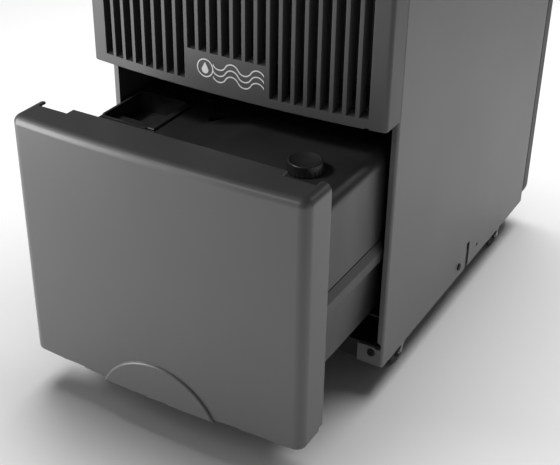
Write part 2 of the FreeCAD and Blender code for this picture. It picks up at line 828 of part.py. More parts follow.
def mid_shelf():
    half = half_width - sheet - seam
    front = 6.0
    plate = box(-half, half, front, side_rear_y - front, shelf_z, shelf_top_z)
    plate = plate.fuse(box(-half, half, front, front + shelf_sheet, shelf_z, shelf_z + 12))
    spout_y = drip_y + pull_out
    holes = [rod(10, (x, y, shelf_z - over), (x, y, shelf_top_z + over)) for x, y in pipe_exits()]
    holes.append(rod(9, (drip_x, spout_y, shelf_z - over), (drip_x, spout_y, shelf_top_z + over)))
    return plate.cut(Part.makeCompound(holes)).removeSplitter()


def pipe_exits():
    """Where the discharge pipe and the suction pipe pass through the shelf."""
    return [(compressor_x + 30, compressor_y - 20), (compressor_x - 30, compressor_y - 75)]


def bay_wall():
    half = half_width - sheet - seam - pan_wall
    return box(-half, half, bay_wall_y, bay_wall_y + shelf_sheet, pan_deck_z, shelf_z - seam)


def drip_tray():
    low = shelf_top_z
    high = coil_low - 3
    wall = 2.0
    half = coil_half + 10
    front = evaporator_y - 6
    x = drip_x
    y = drip_y + pull_out
    rear = y + 14
    outer = box(-half, half, front, rear, low, high)
    inner = box(-half + wall, half - wall, front + wall, rear - wall, low + wall, high + over)
    spout = rod(7, (x, y, shelf_z - 18), (x, y, low + wall))
    tray = outer.cut(inner).fuse(spout)
    return tray.cut(rod(5, (x, y, shelf_z - 19), (x, y, low + wall + over))).removeSplitter()


def coil(front):
    """A finned block with end plates and return bends; the fins are one solid block."""
    fin_half = coil_half - coil_end
    middle = front + coil_depth / 2
    shapes = [box(-fin_half, fin_half, front, front + coil_depth, coil_low, coil_high)]
    step = (coil_high - coil_low) / coil_rows
    for side in (-1, 1):
        x = side * fin_half
        plate_x = sorted((x, x + side * end_plate))
        shapes.append(box(plate_x[0], plate_x[1], front - 1, front + coil_depth + 1, coil_low - 2,
                          coil_high + 2))
        reach = sorted((x + side, x + side * 20))
        for row in range(coil_rows):
            z = coil_low + (row + 0.5) * step
            bend = Part.makeTorus(2 * coil_tube, coil_tube, Vector(x + side, middle, z), Vector(0, 1, 0))
            shapes.append(bend.common(box(reach[0], reach[1], front, front + coil_depth, z - 20, z + 20)))
    return fuse(shapes)


def air_filter_frame():
    front = 2.0
    border = 8.0
    outer = box(-coil_half - border, coil_half + border, front, front + 7, coil_low - 12, coil_high + 4)
    opening = coil_half - 4
    frame = outer.cut(box(-opening, opening, 0, front + 10, coil_low, coil_high - border))
    bars = [box(x - 1.5, x + 1.5, front, front + 2.5, coil_low - over, coil_high - border + over)
            for x in (-opening / 2, 0, opening / 2)]
    return fuse([frame] + bars)


def filter_mesh():
    half = coil_half - 4.2
    return box(-half, half, 5.2, 6.2, coil_low + 0.2, coil_high - 8.2)


def fan_shroud():
    inner = fan_radius + fan_tip_gap
    end = shroud_y + shroud_depth
    plate = box(-coil_half, coil_half, shroud_y, shroud_y + 3, coil_low, coil_high)
    ring = rod(inner + 3, (0, shroud_y, fan_z), (0, end, fan_z))
    shroud = plate.fuse(ring).cut(rod(inner, (0, shroud_y - over, fan_z), (0, end + over, fan_z)))
    hub = rod(motor_radius + 4, (0, end, fan_z), (0, motor_front_y, fan_z))
    arms = []
    for angle in (60, 180, 300):
        arm = box(-5, 5, end - 2, motor_front_y, fan_z, fan_z + inner + 2)
        arm.rotate(Vector(0, 0, fan_z), Vector(0, 1, 0), angle)
        arms.append(arm)
    shroud = shroud.fuse(arms + [hub])
    return shroud.cut(rod(20, (0, end - 3, fan_z), (0, motor_front_y + over, fan_z))).removeSplitter()


def fan_motor():
    start = motor_front_y
    body = rod(motor_radius, (0, start, fan_z), (0, start + motor_length, fan_z))
    body = round_edges(body, 6.0, lambda p, d: near(p.y, start + motor_length))
    boss = rod(12, (0, start - 5, fan_z), (0, start, fan_z))
    bore = rod(shaft_radius + running_gap, (0, start - 6, fan_z), (0, start + 30, fan_z))
    return body.fuse(boss).cut(bore).removeSplitter()


def fan_wheel():
    rear = fan_y + fan_hub_length / 2 - 3
    front = rear - fan_hub_length
    hub = rod(fan_hub_radius, (0, front, fan_z), (0, rear, fan_z))
    hub = round_edges(hub, 5.0, lambda p, d: near(p.y, front))
    shapes = [hub, rod(shaft_radius, (0, rear, fan_z), (0, motor_front_y + 28, fan_z))]
    for index in range(fan_blades):
        blade = box(-23, 23, -1.1, 1.1, fan_hub_radius - 3, fan_radius)
        blade.rotate(Vector(0, 0, 0), Vector(0, 0, 1), 28)
        blade = blade.translated(Vector(0, (front + rear) / 2, fan_z))
        blade.rotate(Vector(0, 0, fan_z), Vector(0, 1, 0), index * 360 / fan_blades)
        shapes.append(blade)
    return fuse(shapes)


# ---------------------------------------------------------------- refrigerant circuit

def compressor_feet():
    """The three feet of the compressor, as (angle, x, y)."""
    feet = []
    for degrees in (90, 210, 330):
        angle = math.radians(degrees)
        feet.append((degrees, compressor_x + compressor_foot_radius * math.cos(angle),
                     compressor_y + compressor_foot_radius * math.sin(angle)))
    return feet


def compressor():
    low = compressor_low
    high = low + compressor_height
    x, y = compressor_x, compressor_y
    can = rod(compressor_radius, (x, y, low), (x, y, high))
    can = round_edges(can, 24.0, lambda p, d: near(p.z, high))
    can = round_edges(can, 10.0, lambda p, d: near(p.z, low))
    weld = rod(compressor_radius + 1.5, (x, y, high - 40), (x, y, high - 36))
    terminal_cover = rod(16, (x, y, high - 2), (x, y, high + 16))
    shapes = [weld, terminal_cover]
    for degrees, foot_x, foot_y in compressor_feet():
        arm = box(0, compressor_foot_radius, -12, 12, low, low + 3)
        arm.rotate(Vector(0, 0, 0), Vector(0, 0, 1), degrees)
        shapes.append(arm.translated(Vector(x, y, 0)))
        shapes.append(rod(12, (foot_x, foot_y, low), (foot_x, foot_y, low + 3)))
    return can.fuse(shapes).removeSplitter()


def compressor_mounts():
    """Rubber grommets with a groove round the middle."""
    low = pan_deck_z
    mounts = []
    for _, x, y in compressor_feet():
        groove = rod(11, (x, y, low + 5), (x, y, low + 8)).cut(rod(8, (x, y, low + 4), (x, y, low + 9)))
        mounts.append(rod(10, (x, y, low), (x, y, low + mount_height)).cut(groove))
    return Part.makeCompound(mounts)


def accumulator():
    x, y = accumulator_x, accumulator_y
    body = rod(accumulator_radius, (x, y, accumulator_low), (x, y, accumulator_low + accumulator_height))
    return round_edges(body, 8.0, lambda p, d: True)


def suction_pipe():
    x, y = pipe_exits()[1]
    top = accumulator_low + accumulator_height
    over_top = top + 35
    run_z = coil_low + 60
    points = [(accumulator_x, accumulator_y, top), (accumulator_x, accumulator_y, over_top), (x, y, over_top),
              (x, y, run_z), (-side_pipe_x, y - 20, run_z),
              (-side_pipe_x, evaporator_y + coil_depth / 2, run_z)]
    return tube_along(points, pipe_radius, pipe_bend)


def discharge_pipe():
    x, y = pipe_exits()[0]
    top = compressor_low + compressor_height - 4
    run_z = coil_high - 30
    run_y = control_box_front - 15
    points = [(x, y, top), (x, y, run_z), (x, run_y, run_z), (side_pipe_x, run_y, run_z),
              (side_pipe_x, condenser_y + coil_depth / 2, run_z)]
    return tube_along(points, pipe_radius, pipe_bend)


def filter_drier():
    x = side_pipe_x
    z = coil_low + 30
    front = condenser_y + coil_depth + 20
    rear = control_box_front - 25
    shoulder = (rear - front) * 3 / 14
    body = rod(11, (x, front + shoulder, z), (x, rear - shoulder, z))
    body = round_edges(body, 4.0, lambda p, d: True)
    return body.fuse(rod(3, (x, front, z), (x, rear, z))).removeSplitter()


def control_box():
    low = shelf_top_z
    high = low + control_box_height
    wall = control_box_wall
    outer = box(control_box_left, control_box_right, control_box_front, control_box_rear, low, high)
    outer = round_edges(outer, 4.0, lambda p, d: near(abs(d.z), 1))
    return outer.cut(box(control_box_left + wall, control_box_right - wall, control_box_front + wall,
                         control_box_rear - wall, low + wall, high - wall))


def control_board():
    x = control_box_left
    y = control_box_front
    low = shelf_top_z + control_box_wall + 5
    high = low + 1.6
    board = box(x + 7, x + 110, y + 15, y + 140, low, high)
    relay = box(x + 20, x + 40, y + 35, y + 55, high, high + 16)
    capacitor = rod(9, (x + 85, y + 45, high), (x + 85, y + 45, high + 28))
    heat_sink = box(x + 25, x + 55, y + 95, y + 125, high, high + 24)
    return fuse([board, relay, capacitor, heat_sink])


def float_switch():
    low = tank_bottom + 150
    return box(float_x - 12, float_x + 12, bay_wall_y - 6, bay_wall_y, low, low + 35)


# ---------------------------------------------------------------- controls

def control_panel():
    gap = fascia_gap
    low = cover_top - fascia_thick
    high = cover_top - 0.2
    plate = box(-fascia_half + gap, fascia_half - gap, fascia_front + gap, fascia_rear - gap, low, high)
    plate = round_edges(plate, 3.0, lambda p, d: near(abs(d.z), 1))
    plate = plate.cut(box(display_left, display_right, fascia_front + display_margin,
                          fascia_rear - display_margin,
                          low - over, high + over))
    return plate.cut(Part.makeCompound([button_hole(index, low - over) for index in range(button_count)]))


def display_window():
    gap = fascia_gap
    return box(display_left + gap, display_right - gap, fascia_front + display_margin + gap,
               fascia_rear - display_margin - gap, cover_top - fascia_thick, cover_top - 0.1)


def button(index):
    """A round key with a flange under the cover that keeps it in."""
    x, y = button_place(index)
    top = cover_top + button_travel + 0.4
    flange_top = cover_top - fascia_thick - cover_wall - moving_gap
    key = rod(button_radius, (x, y, flange_top - over), (x, y, top))
    key = round_edges(key, 0.9, lambda p, d: near(p.z, top))
    flange = rod(button_radius + 2, (x, y, flange_top - 2), (x, y, flange_top))
    return key.fuse(flange).removeSplitter()


# ---------------------------------------------------------------- rear fittings and screws

def mains_inlet():
    face = cabinet_depth
    flange = box(inlet_x - 25, inlet_x + 25, face, face + 2.5, inlet_z - 13, inlet_z + 13)
    flange = round_edges(flange, 5.0, lambda p, d: near(abs(d.y), 1))
    body = box(inlet_x - inlet_half, inlet_x + inlet_half, face - 20, face + 2.5,
               inlet_z - inlet_high, inlet_z + inlet_high)
    cup = box(inlet_x - inlet_half + 2, inlet_x + inlet_half - 2, face - 17, face + 2.5 + over,
              inlet_z - inlet_high + 2, inlet_z + inlet_high - 2)
    cup = round_edges(cup, 3.0, lambda p, d: near(abs(d.y), 1) and p.z > inlet_z)
    socket = flange.fuse(body).cut(cup)
    pins = []
    for dx, dz in ((-7, -2), (0, 2), (7, -2)):
        x = inlet_x + dx
        z = inlet_z + dz
        pins.append(box(x - 1, x + 1, face - 18, face - 2, z - 2, z + 2))
    return socket.fuse(pins).removeSplitter()


def drain_spout():
    face = cabinet_depth
    inner = face - spout_root
    tube = rod(spout_radius, (spout_x, face, spout_z), (spout_x, face + spout_length, spout_z))
    root = rod(spout_radius + 0.6, (spout_x, inner, spout_z), (spout_x, face, spout_z))
    collar = rod(spout_radius + 5, (spout_x, face - rear_cover_wall - 2.5, spout_z),
                 (spout_x, face - rear_cover_wall, spout_z))
    bore = rod(spout_radius - 2, (spout_x, inner - 1, spout_z), (spout_x, face + spout_length + 1, spout_z))
    return tube.fuse([root, collar]).cut(bore).removeSplitter()


def screw(x, y, z, outward):
    """Pan head with a cross recess, standing on the surface at the point given."""
    axis = Vector(*outward)
    head = Part.makeCylinder(screw_head_radius, screw_head_height, Vector(0, 0, 0), Vector(0, 0, 1))
    head = round_edges(head, 1.4, lambda p, d: near(p.z, screw_head_height))
    recess = screw_head_height - 1.1
    cross = [box(-2.6, 2.6, -0.5, 0.5, recess, 5), box(-0.5, 0.5, -2.6, 2.6, recess, 5)]
    shank = Part.makeCylinder(shank_radius, 5.0, Vector(0, 0, -5))
    piece = head.cut(Part.makeCompound(cross)).fuse(shank).removeSplitter()
    piece.Placement = FreeCAD.Placement(Vector(x, y, z), FreeCAD.Rotation(Vector(0, 0, 1), axis))
    return piece


def screw_places():
    places = []
    for side in (-1, 1):
        places.append((side * (half_width - 15), 0, edge_z + 17, (0, -1, 0)))
        places.append((side * half_width, side_screw_y, side_screw_z, (side, 0, 0)))
        for z in (edge_z + 60, shelf_z - 18, cover_low - 20):
            places.append((side * (half_width - 12), cabinet_depth, z, (0, 1, 0)))
    return places


def case_screws():
    return Part.makeCompound([screw(*place) for place in screw_places()])


# ---------------------------------------------------------------- castors

def castor_places():
    places = []
    for x, side in ((-castor_x, "left"), (castor_x, "right")):
        for y, end in ((castor_front_y, "front"), (castor_rear_y, "rear")):
            places.append((end + "_" + side, x, y))
    return places


def castor_plates():
    """Fixed halves of the castors: a plate, a race and a kingpin with a riveted head."""
    shapes = []
    top = pan_floor_z
    under_plate = top - plate_sheet
    under_fork = fork_top - fork_sheet
    for _, x, y in castor_places():
        plate = box(x - castor_plate_half, x + castor_plate_half, y - castor_plate_reach,
                    y + castor_plate_reach,
                    under_plate, top)
        plate = round_edges(plate, 5.0, lambda p, d: near(abs(d.z), 1))
        race = rod(15, (x, y, under_plate - race_height), (x, y, under_plate))
        pin = rod(kingpin_radius, (x, y, under_fork - 2.0), (x, y, under_plate))
        head = rod(6.0, (x, y, under_fork - 2.4), (x, y, under_fork - moving_gap))
        shapes.append(fuse([plate, race, pin, head]))
    return Part.makeCompound(shapes)


def castor_fork(x, y):
    top = fork_top
    axle_y = y - castor_trail
    reach = wheel_width / 2 + fork_gap
    disc = rod(16, (x, y, top - fork_sheet), (x, y, top))
    bridge = box(x - reach - fork_sheet, x + reach + fork_sheet, y - 13, y + 13, top - fork_sheet, top)
    shapes = [disc.fuse(bridge)]
    for side in (-1, 1):
        x0 = min(x + side * reach, x + side * (reach + fork_sheet))
        leg = extrude([(x0, y - 13, top), (x0, y + 13, top), (x0, y + 13, top - 8),
                       (x0, axle_y + 5.5, wheel_radius - 2.5), (x0, axle_y - 5.5, wheel_radius - 2.5)],
                      (fork_sheet, 0, 0))
        eye = rod(6.0, (x0, axle_y, wheel_radius), (x0 + fork_sheet, axle_y, wheel_radius))
        shapes.append(leg.fuse(eye))
    fork = fuse(shapes)
    fork = fork.cut(rod(kingpin_radius + running_gap, (x, y, top - 5), (x, y, top + over)))
    return fork.cut(rod(axle_radius, (x - 30, axle_y, wheel_radius), (x + 30, axle_y, wheel_radius)))


def castor_axle(x, y):
    axle_y = y - castor_trail
    reach = wheel_width / 2 + fork_gap + fork_sheet
    pin = rod(axle_radius, (x - reach, axle_y, wheel_radius), (x + reach, axle_y, wheel_radius))
    heads = [rod(4.2, (x + side * reach, axle_y, wheel_radius), (x + side * (reach + 1.6), axle_y,
                                                                 wheel_radius))
             for side in (-1, 1)]
    return pin.fuse(heads).removeSplitter()


def castor_wheel(x, y):
    axle_y = y - castor_trail
    half = wheel_width / 2
    wheel = rod(wheel_radius, (x - half, axle_y, wheel_radius), (x + half, axle_y, wheel_radius))
    wheel = round_edges(wheel, 3.5, lambda p, d: True)
    for side in (-1, 1):
        dish = rod(wheel_radius - 6, (x + side * (half - 2.5), axle_y, wheel_radius),
                   (x + side * (half + 1), axle_y, wheel_radius))
        hub = rod(5.5, (x + side * (half - 3), axle_y, wheel_radius), (x + side * (half + 2), axle_y,
                                                                       wheel_radius))
        wheel = wheel.cut(dish.cut(hub))
    reach = half + over
    bore = rod(axle_radius + running_gap, (x - reach, axle_y, wheel_radius),
               (x + reach, axle_y, wheel_radius))
    return wheel.cut(bore)


# ---------------------------------------------------------------- build

def build_all():
    right_side = side_panel()
    right_rail = tank_rail()
    screws = case_screws()
    parts["base_pan"] = base_pan()
    parts["right_side_panel"] = right_side
    parts["left_side_panel"] = mirrored(right_side)
    parts["rear_cover"] = rear_cover()
    parts["top_cover"] = top_cover()
    parts["front_grille"] = front_grille()
    parts["emblem"] = emblem()
    parts["right_tank_rail"] = right_rail
    parts["left_tank_rail"] = mirrored(right_rail)
    parts["mid_shelf"] = mid_shelf()
    parts["bay_wall"] = bay_wall()
    parts["drip_tray"] = drip_tray()
    parts["air_filter_frame"] = air_filter_frame()
    parts["filter_mesh"] = filter_mesh()
    parts["evaporator"] = coil(evaporator_y)
    parts["condenser"] = coil(condenser_y)
    parts["fan_shroud"] = fan_shroud()
    parts["fan_motor"] = fan_motor()
    parts["fan_wheel"] = fan_wheel()
    parts["compressor"] = compressor()
    parts["compressor_mounts"] = compressor_mounts()
    parts["accumulator"] = accumulator()
    parts["suction_pipe"] = suction_pipe()
    parts["discharge_pipe"] = discharge_pipe()
    parts["filter_drier"] = filter_drier()
    parts["control_box"] = control_box()
    parts["control_board"] = control_board()
    parts["control_panel"] = control_panel()
    parts["display_window"] = display_window()
    for index in range(button_count):
        parts["button_" + str(index + 1)] = button(index)
    parts["float_switch"] = float_switch()
    parts["mains_inlet"] = mains_inlet()
    parts["drain_spout"] = drain_spout()
    parts["tank_body"] = tank_body()
    parts["tank_front"] = tank_front()
    parts["tank_lid"] = tank_lid()
    parts["tank_cap"] = tank_cap()
    parts["tank_float"] = tank_float()
    parts["castor_plates"] = castor_plates()
    for name, x, y in castor_places():
        parts["castor_fork_" + name] = castor_fork(x, y)
        parts["castor_axle_" + name] = castor_axle(x, y)
        parts["castor_wheel_" + name] = castor_wheel(x, y)
    for name in ("right_side_panel", "left_side_panel", "base_pan", "rear_cover"):
        parts[name] = parts[name].cut(screws)
    parts["case_screws"] = screws


os.makedirs("parts", exist_ok=True)
build_all()
for name, shape in parts.items():
    shape = shape.translated(Vector(0, shift_y, 0))
    if not shape.isValid():
        print("not valid:", name)
    print(name, len(shape.Solids), "solids, volume", round(shape.Volume / 1000, 2), "cm3")
    shape.exportStep("parts/" + name + ".step")
print("moved along Y by", round(shift_y, 3))
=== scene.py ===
import json
import math

import bmesh
import bpy
from mathutils import Matrix, Vector

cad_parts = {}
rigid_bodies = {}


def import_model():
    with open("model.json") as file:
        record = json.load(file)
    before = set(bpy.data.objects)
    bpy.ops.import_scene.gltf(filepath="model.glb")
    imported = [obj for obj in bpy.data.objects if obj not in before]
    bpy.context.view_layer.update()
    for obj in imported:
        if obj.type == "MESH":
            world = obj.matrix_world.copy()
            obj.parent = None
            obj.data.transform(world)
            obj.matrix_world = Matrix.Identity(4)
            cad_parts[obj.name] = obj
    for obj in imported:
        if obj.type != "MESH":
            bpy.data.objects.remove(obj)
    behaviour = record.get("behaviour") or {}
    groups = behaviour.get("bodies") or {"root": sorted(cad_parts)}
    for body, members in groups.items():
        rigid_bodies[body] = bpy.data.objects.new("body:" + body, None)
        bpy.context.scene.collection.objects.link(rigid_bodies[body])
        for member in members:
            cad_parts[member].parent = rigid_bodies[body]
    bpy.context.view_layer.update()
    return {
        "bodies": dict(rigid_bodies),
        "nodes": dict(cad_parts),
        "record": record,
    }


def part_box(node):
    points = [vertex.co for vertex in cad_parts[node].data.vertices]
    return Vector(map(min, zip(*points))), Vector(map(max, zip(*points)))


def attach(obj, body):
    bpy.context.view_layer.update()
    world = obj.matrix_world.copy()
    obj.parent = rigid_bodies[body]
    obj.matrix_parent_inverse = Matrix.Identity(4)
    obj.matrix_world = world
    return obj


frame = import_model()
nodes = frame["nodes"]
print("frame loaded:", len(nodes), "nodes")

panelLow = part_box("right_side_panel")[0]

cameraSet = {
    "place": (0.6114, -0.9869, 0.8270),   # y from the right panel's front, z from its foot
    "turn": 29.86,
    "tilt": 31.08,
    "roll": 0.87,
    "lens": 73.67,
    "sensor": 36.0,
}


def addCamera(values):
    turn, tilt, roll = (math.radians(values[key]) for key in ("turn", "tilt", "roll"))
    forward = Vector((-math.sin(turn) * math.cos(tilt), math.cos(turn) * math.cos(tilt), -math.sin(tilt)))
    level = forward.cross(Vector((0, 0, 1))).normalized()
    upright = level.cross(forward)
    right = level * math.cos(roll) + upright * math.sin(roll)
    up = upright * math.cos(roll) - level * math.sin(roll)
    camera = bpy.data.cameras.new("camera")
    camera.lens = values["lens"]
    camera.sensor_width = values["sensor"]
    holder = bpy.data.objects.new("camera", camera)
    bpy.context.scene.collection.objects.link(holder)
    x, y, z = values["place"]
    turned = Matrix((right, up, -forward)).transposed().to_4x4()
    holder.matrix_world = Matrix.Translation((x, panelLow.y + y, panelLow.z + z)) @ turned
    bpy.context.scene.camera = holder


studioSet = {
    "floorSize": 12.0,
    "floorColor": (0.86, 0.86, 0.86, 1),
    "floorRoughness": 0.85,
    "skyColor": (1, 1, 1, 1),
    "skyStrength": 0.10,
}

# at and aim are metres from the footprint's middle; "on" is a name from lampReach
lampSet = {
    "keyBox": {
        "at": (-0.82, -0.86, 0.42), "aim": (-0.15, -0.34, 0.22),
        "size": (0.6, 0.8), "power": 12.5, "on": "front"},
    "edgeBox": {
        "at": (-0.62, -1.08, 1.40), "aim": (-0.02, -0.35, 0.35),
        "size": (1.5, 0.20), "power": 3.6, "on": "machine"},
    "rightBox": {
        "at": (1.9, -0.3, 0.45), "aim": (0.18, 0, 0.3),
        "size": (1.4, 1.4), "power": 2.3, "on": "machine"},
    "lidBox": {
        "at": (-0.95, -1.05, 1.75), "aim": (-0.08, -0.20, 0.31),
        "size": (0.35, 0.35), "power": 15, "on": "lid"},
    "backBox": {
        "at": (0.6, 2.2, 1.2), "aim": (0, 0.3, 0.3),
        "size": (1.6, 1.2), "power": 8, "on": "machine"},
    "floorTop": {
        "at": (-0.1, 0.5, 2.4), "aim": (0, 0.2, 0),
        "size": (2.4, 1.6), "power": 86, "on": "floor"},
    "floorFront": {
        "at": (-1.2, -2.0, 2.2), "aim": (-0.2, -0.6, 0),
        "size": (2.0, 2.0), "power": 10, "on": "floor"},
}


def lampReach(floor):
    # the floor alone, all but the floor, the tank's lid and cap, or the front and left side
    frontNames = ("tank_front", "front_grille", "emblem", "left_side_panel")
    lists = {
        "floor": ("INCLUDE", [floor]),
        "machine": ("EXCLUDE", [floor]),
        "lid": ("INCLUDE", [nodes[name] for name in ("tank_lid", "tank_cap")]),
        "front": ("INCLUDE", [nodes[name] for name in frontNames]),
    }
    reach = {}
    for name, (state, members) in lists.items():
        group = bpy.data.collections.new(name + "Only")
        for index, member in enumerate(members):
            group.objects.link(member)
            group.collection_objects[index].light_linking.link_state = state
        reach[name] = group
    return reach


def addStudio(values, lamps):
    half = values["floorSize"] / 2
    mesh = bpy.data.meshes.new("studioFloor")
    corners = [(-half, -half, 0), (half, -half, 0), (half, half, 0), (-half, half, 0)]
    mesh.from_pydata(corners, [], [(0, 1, 2, 3)])
    floor = bpy.data.objects.new("studioFloor", mesh)
    bpy.context.scene.collection.objects.link(floor)
    paper = bpy.data.materials.new("studioPaper")
    paper.use_nodes = True
    shader = paper.node_tree.nodes["Principled BSDF"]
    shader.inputs["Base Color"].default_value = values["floorColor"]
    shader.inputs["Roughness"].default_value = values["floorRoughness"]
    mesh.materials.append(paper)
    world = bpy.data.worlds.new("studioSky")
    world.use_nodes = True
    sky = world.node_tree.nodes["Background"]
    sky.inputs["Color"].default_value = values["skyColor"]
    sky.inputs["Strength"].default_value = values["skyStrength"]
    bpy.context.scene.world = world
    bpy.context.scene.view_settings.view_transform = "Standard"
    reach = lampReach(floor)
    for name, lamp in lamps.items():
        light = bpy.data.lights.new(name, "AREA")
        light.shape = "RECTANGLE"
        light.size, light.size_y = lamp["size"]
        light.energy = lamp["power"]
        holder = bpy.data.objects.new(name, light)
        bpy.context.scene.collection.objects.link(holder)
        holder.location = lamp["at"]
        toward = Vector(lamp["aim"]) - Vector(lamp["at"])
        holder.rotation_euler = toward.to_track_quat("-Z", "Y").to_euler()
        holder.light_linking.receiver_collection = reach[lamp["on"]]
        holder.visible_camera = False


addCamera(cameraSet)
addStudio(studioSet, lampSet)
print("camera and studio ready")


def newGroup(name, inputs, outputs):
    group = bpy.data.node_groups.new(name, "ShaderNodeTree")
    for label in inputs:
        group.interface.new_socket(name=label, in_out="INPUT", socket_type="NodeSocketFloat")
    for label in outputs:
        group.interface.new_socket(name=label, in_out="OUTPUT", socket_type="NodeSocketFloat")
    return group, group.nodes.new("NodeGroupInput"), group.nodes.new("NodeGroupOutput")


def addNode(tree, kind, links=(), **values):
    # values set the node's own settings; links are (socket, output or number) pairs
    node = tree.nodes.new(kind)
    for key, value in values.items():
        setattr(node, key, value)
    for socket, source in links:
        if isinstance(source, bpy.types.NodeSocket):
            tree.links.new(source, node.inputs[socket])
        else:
            node.inputs[socket].default_value = source
    return node


def mixMath(tree, operation, first, second, clamp=False):
    node = addNode(tree, "ShaderNodeMath", [(0, first), (1, second)], operation=operation, use_clamp=clamp)
    return node.outputs[0]


def objectPlace(tree):
    return addNode(tree, "ShaderNodeTexCoord").outputs["Object"]


def noiseAt(tree, place, scale, detail):
    return addNode(tree, "ShaderNodeTexNoise",
                   [("Vector", place), ("Scale", scale), ("Detail", detail)]).outputs[0]


def stretched(tree, place, scale):
    return addNode(tree, "ShaderNodeMapping", [("Vector", place), ("Scale", scale)]).outputs[0]


def remap(tree, value, low, high):
    # 0 at low, 1 at high, and straight in between
    return addNode(tree, "ShaderNodeMapRange",
                   [("Value", value), ("From Min", low), ("From Max", high)]).outputs[0]


def blendColor(tree, factor, first, second):
    # a Mix node's colours are its inputs 6 and 7 and its output 2
    node = tree.nodes.new("ShaderNodeMix")
    node.data_type = "RGBA"
    for index, source in ((0, factor), (6, first), (7, second)):
        if isinstance(source, bpy.types.NodeSocket):
            tree.links.new(source, node.inputs[index])
        else:
            node.inputs[index].default_value = source
    return node.outputs[2]


def grey(level, tint=(1.0, 1.0, 1.0)):
    return (level * tint[0], level * tint[1], level * tint[2], 1)


def scaled(color, factor):
    return tuple(part * factor for part in color[:3]) + (1,)


grainSet = {"pitDepth": 0.5, "fineDetail": 2.0, "cloudDetail": 5.0}


def makeMouldGrain(values):
    # fine spark-eroded texture of moulded plastic, with a slow unevenness
    group, given, result = newGroup("mouldGrain", ("Grain Size", "Cloud Size"), ("Height", "Cloud"))
    place = objectPlace(group)
    fine = noiseAt(group, place, given.outputs["Grain Size"], values["fineDetail"])
    pits = addNode(group, "ShaderNodeTexVoronoi",
                   [("Vector", place), ("Scale", given.outputs["Grain Size"])]).outputs["Distance"]
    cloud = noiseAt(group, place, given.outputs["Cloud Size"], values["cloudDetail"])
    height = mixMath(group, "ADD", fine, mixMath(group, "MULTIPLY", pits, values["pitDepth"]))
    group.links.new(height, result.inputs["Height"])
    group.links.new(cloud, result.inputs["Cloud"])
    return group


edgeSet = {"sharpness": 9.0, "patchLow": 0.35, "patchHigh": 0.7, "detail": 4.0}


def makeEdgeMask(values):
    # 1 along worn outer edges, broken up by noise
    group, given, result = newGroup("edgeMask", ("Width", "Breakup"), ("Mask",))
    soft = addNode(group, "ShaderNodeBevel", [("Radius", given.outputs["Width"])], samples=4).outputs[0]
    plain = addNode(group, "ShaderNodeNewGeometry").outputs["Normal"]
    same = addNode(group, "ShaderNodeVectorMath", [(0, soft), (1, plain)], operation="DOT_PRODUCT")
    bend = mixMath(group, "SUBTRACT", 1.0, same.outputs["Value"])
    noise = noiseAt(group, objectPlace(group), given.outputs["Breakup"], values["detail"])
    patchy = remap(group, noise, values["patchLow"], values["patchHigh"])
    strong = mixMath(group, "MULTIPLY", bend, values["sharpness"], True)
    group.links.new(mixMath(group, "MULTIPLY", strong, patchy), result.inputs["Mask"])
    return group


dustSet = {"flatFrom": 0.3, "dustDetail": 7.0, "wipeStretch": (6.0, 6.0, 1.2), "wipeSize": 4.0,
           "wipeDetail": 6.0, "wipeLow": 0.4, "wipeHigh": 0.75}


def makeDustFilm(values):
    # dust that gathers on upward faces, and faint wipe marks
    group, given, result = newGroup("dustFilm", ("Amount", "Patch Size"), ("Mask", "Smear"))
    place = objectPlace(group)
    normal = addNode(group, "ShaderNodeNewGeometry").outputs["Normal"]
    upward = addNode(group, "ShaderNodeSeparateXYZ", [(0, normal)]).outputs["Z"]
    lying = remap(group, upward, values["flatFrom"], 1.0)
    noise = noiseAt(group, place, given.outputs["Patch Size"], values["dustDetail"])
    dust = mixMath(group, "MULTIPLY", mixMath(group, "MULTIPLY", lying, noise), given.outputs["Amount"])
    wipes = noiseAt(group, stretched(group, place, values["wipeStretch"]),
                    values["wipeSize"], values["wipeDetail"])
    group.links.new(dust, result.inputs["Mask"])
    group.links.new(remap(group, wipes, values["wipeLow"], values["wipeHigh"]), result.inputs["Smear"])
    return group


mouldGrain = makeMouldGrain(grainSet)
edgeMask = makeEdgeMask(edgeSet)
dustFilm = makeDustFilm(dustSet)
print("shared effects ready")


def useGroup(tree, group, values):
    node = tree.nodes.new("ShaderNodeGroup")
    node.node_tree = group
    for label, value in values.items():
        node.inputs[label].default_value = value
    return node


def newMaterial(name):
    material = bpy.data.materials.new(name)
    material.use_nodes = True
    return material, material.node_tree, material.node_tree.nodes["Principled BSDF"]


def addBump(tree, shader, strength, depth, height, normal=None):
    links = [("Strength", strength), ("Distance", depth), ("Height", height)]
    if normal:
        links.append(("Normal", normal))
    tree.links.new(addNode(tree, "ShaderNodeBump", links).outputs[0], shader.inputs["Normal"])


# what a finish below has when it doesn't say otherwise
surfaceSet = {
    "cloud": 0.12, "cloudSize": 9.0,
    "edgeWidth": 0.0012, "edgeBreakup": 70.0, "edgeLift": 1.7, "edgeAdd": 0.01,
    "edgeAmount": 0.45,
    "dust": 0.12, "dustPatch": 18.0, "dustColor": grey(0.5, (1.0, 0.98, 0.95)),
    "smear": 0.08, "uneven": 0.10,
    "metallic": 0.0, "coat": 0.0, "coatRoughness": 0.3,
    "softEdge": 0.0005, "bumpDepth": 0.0002,
}


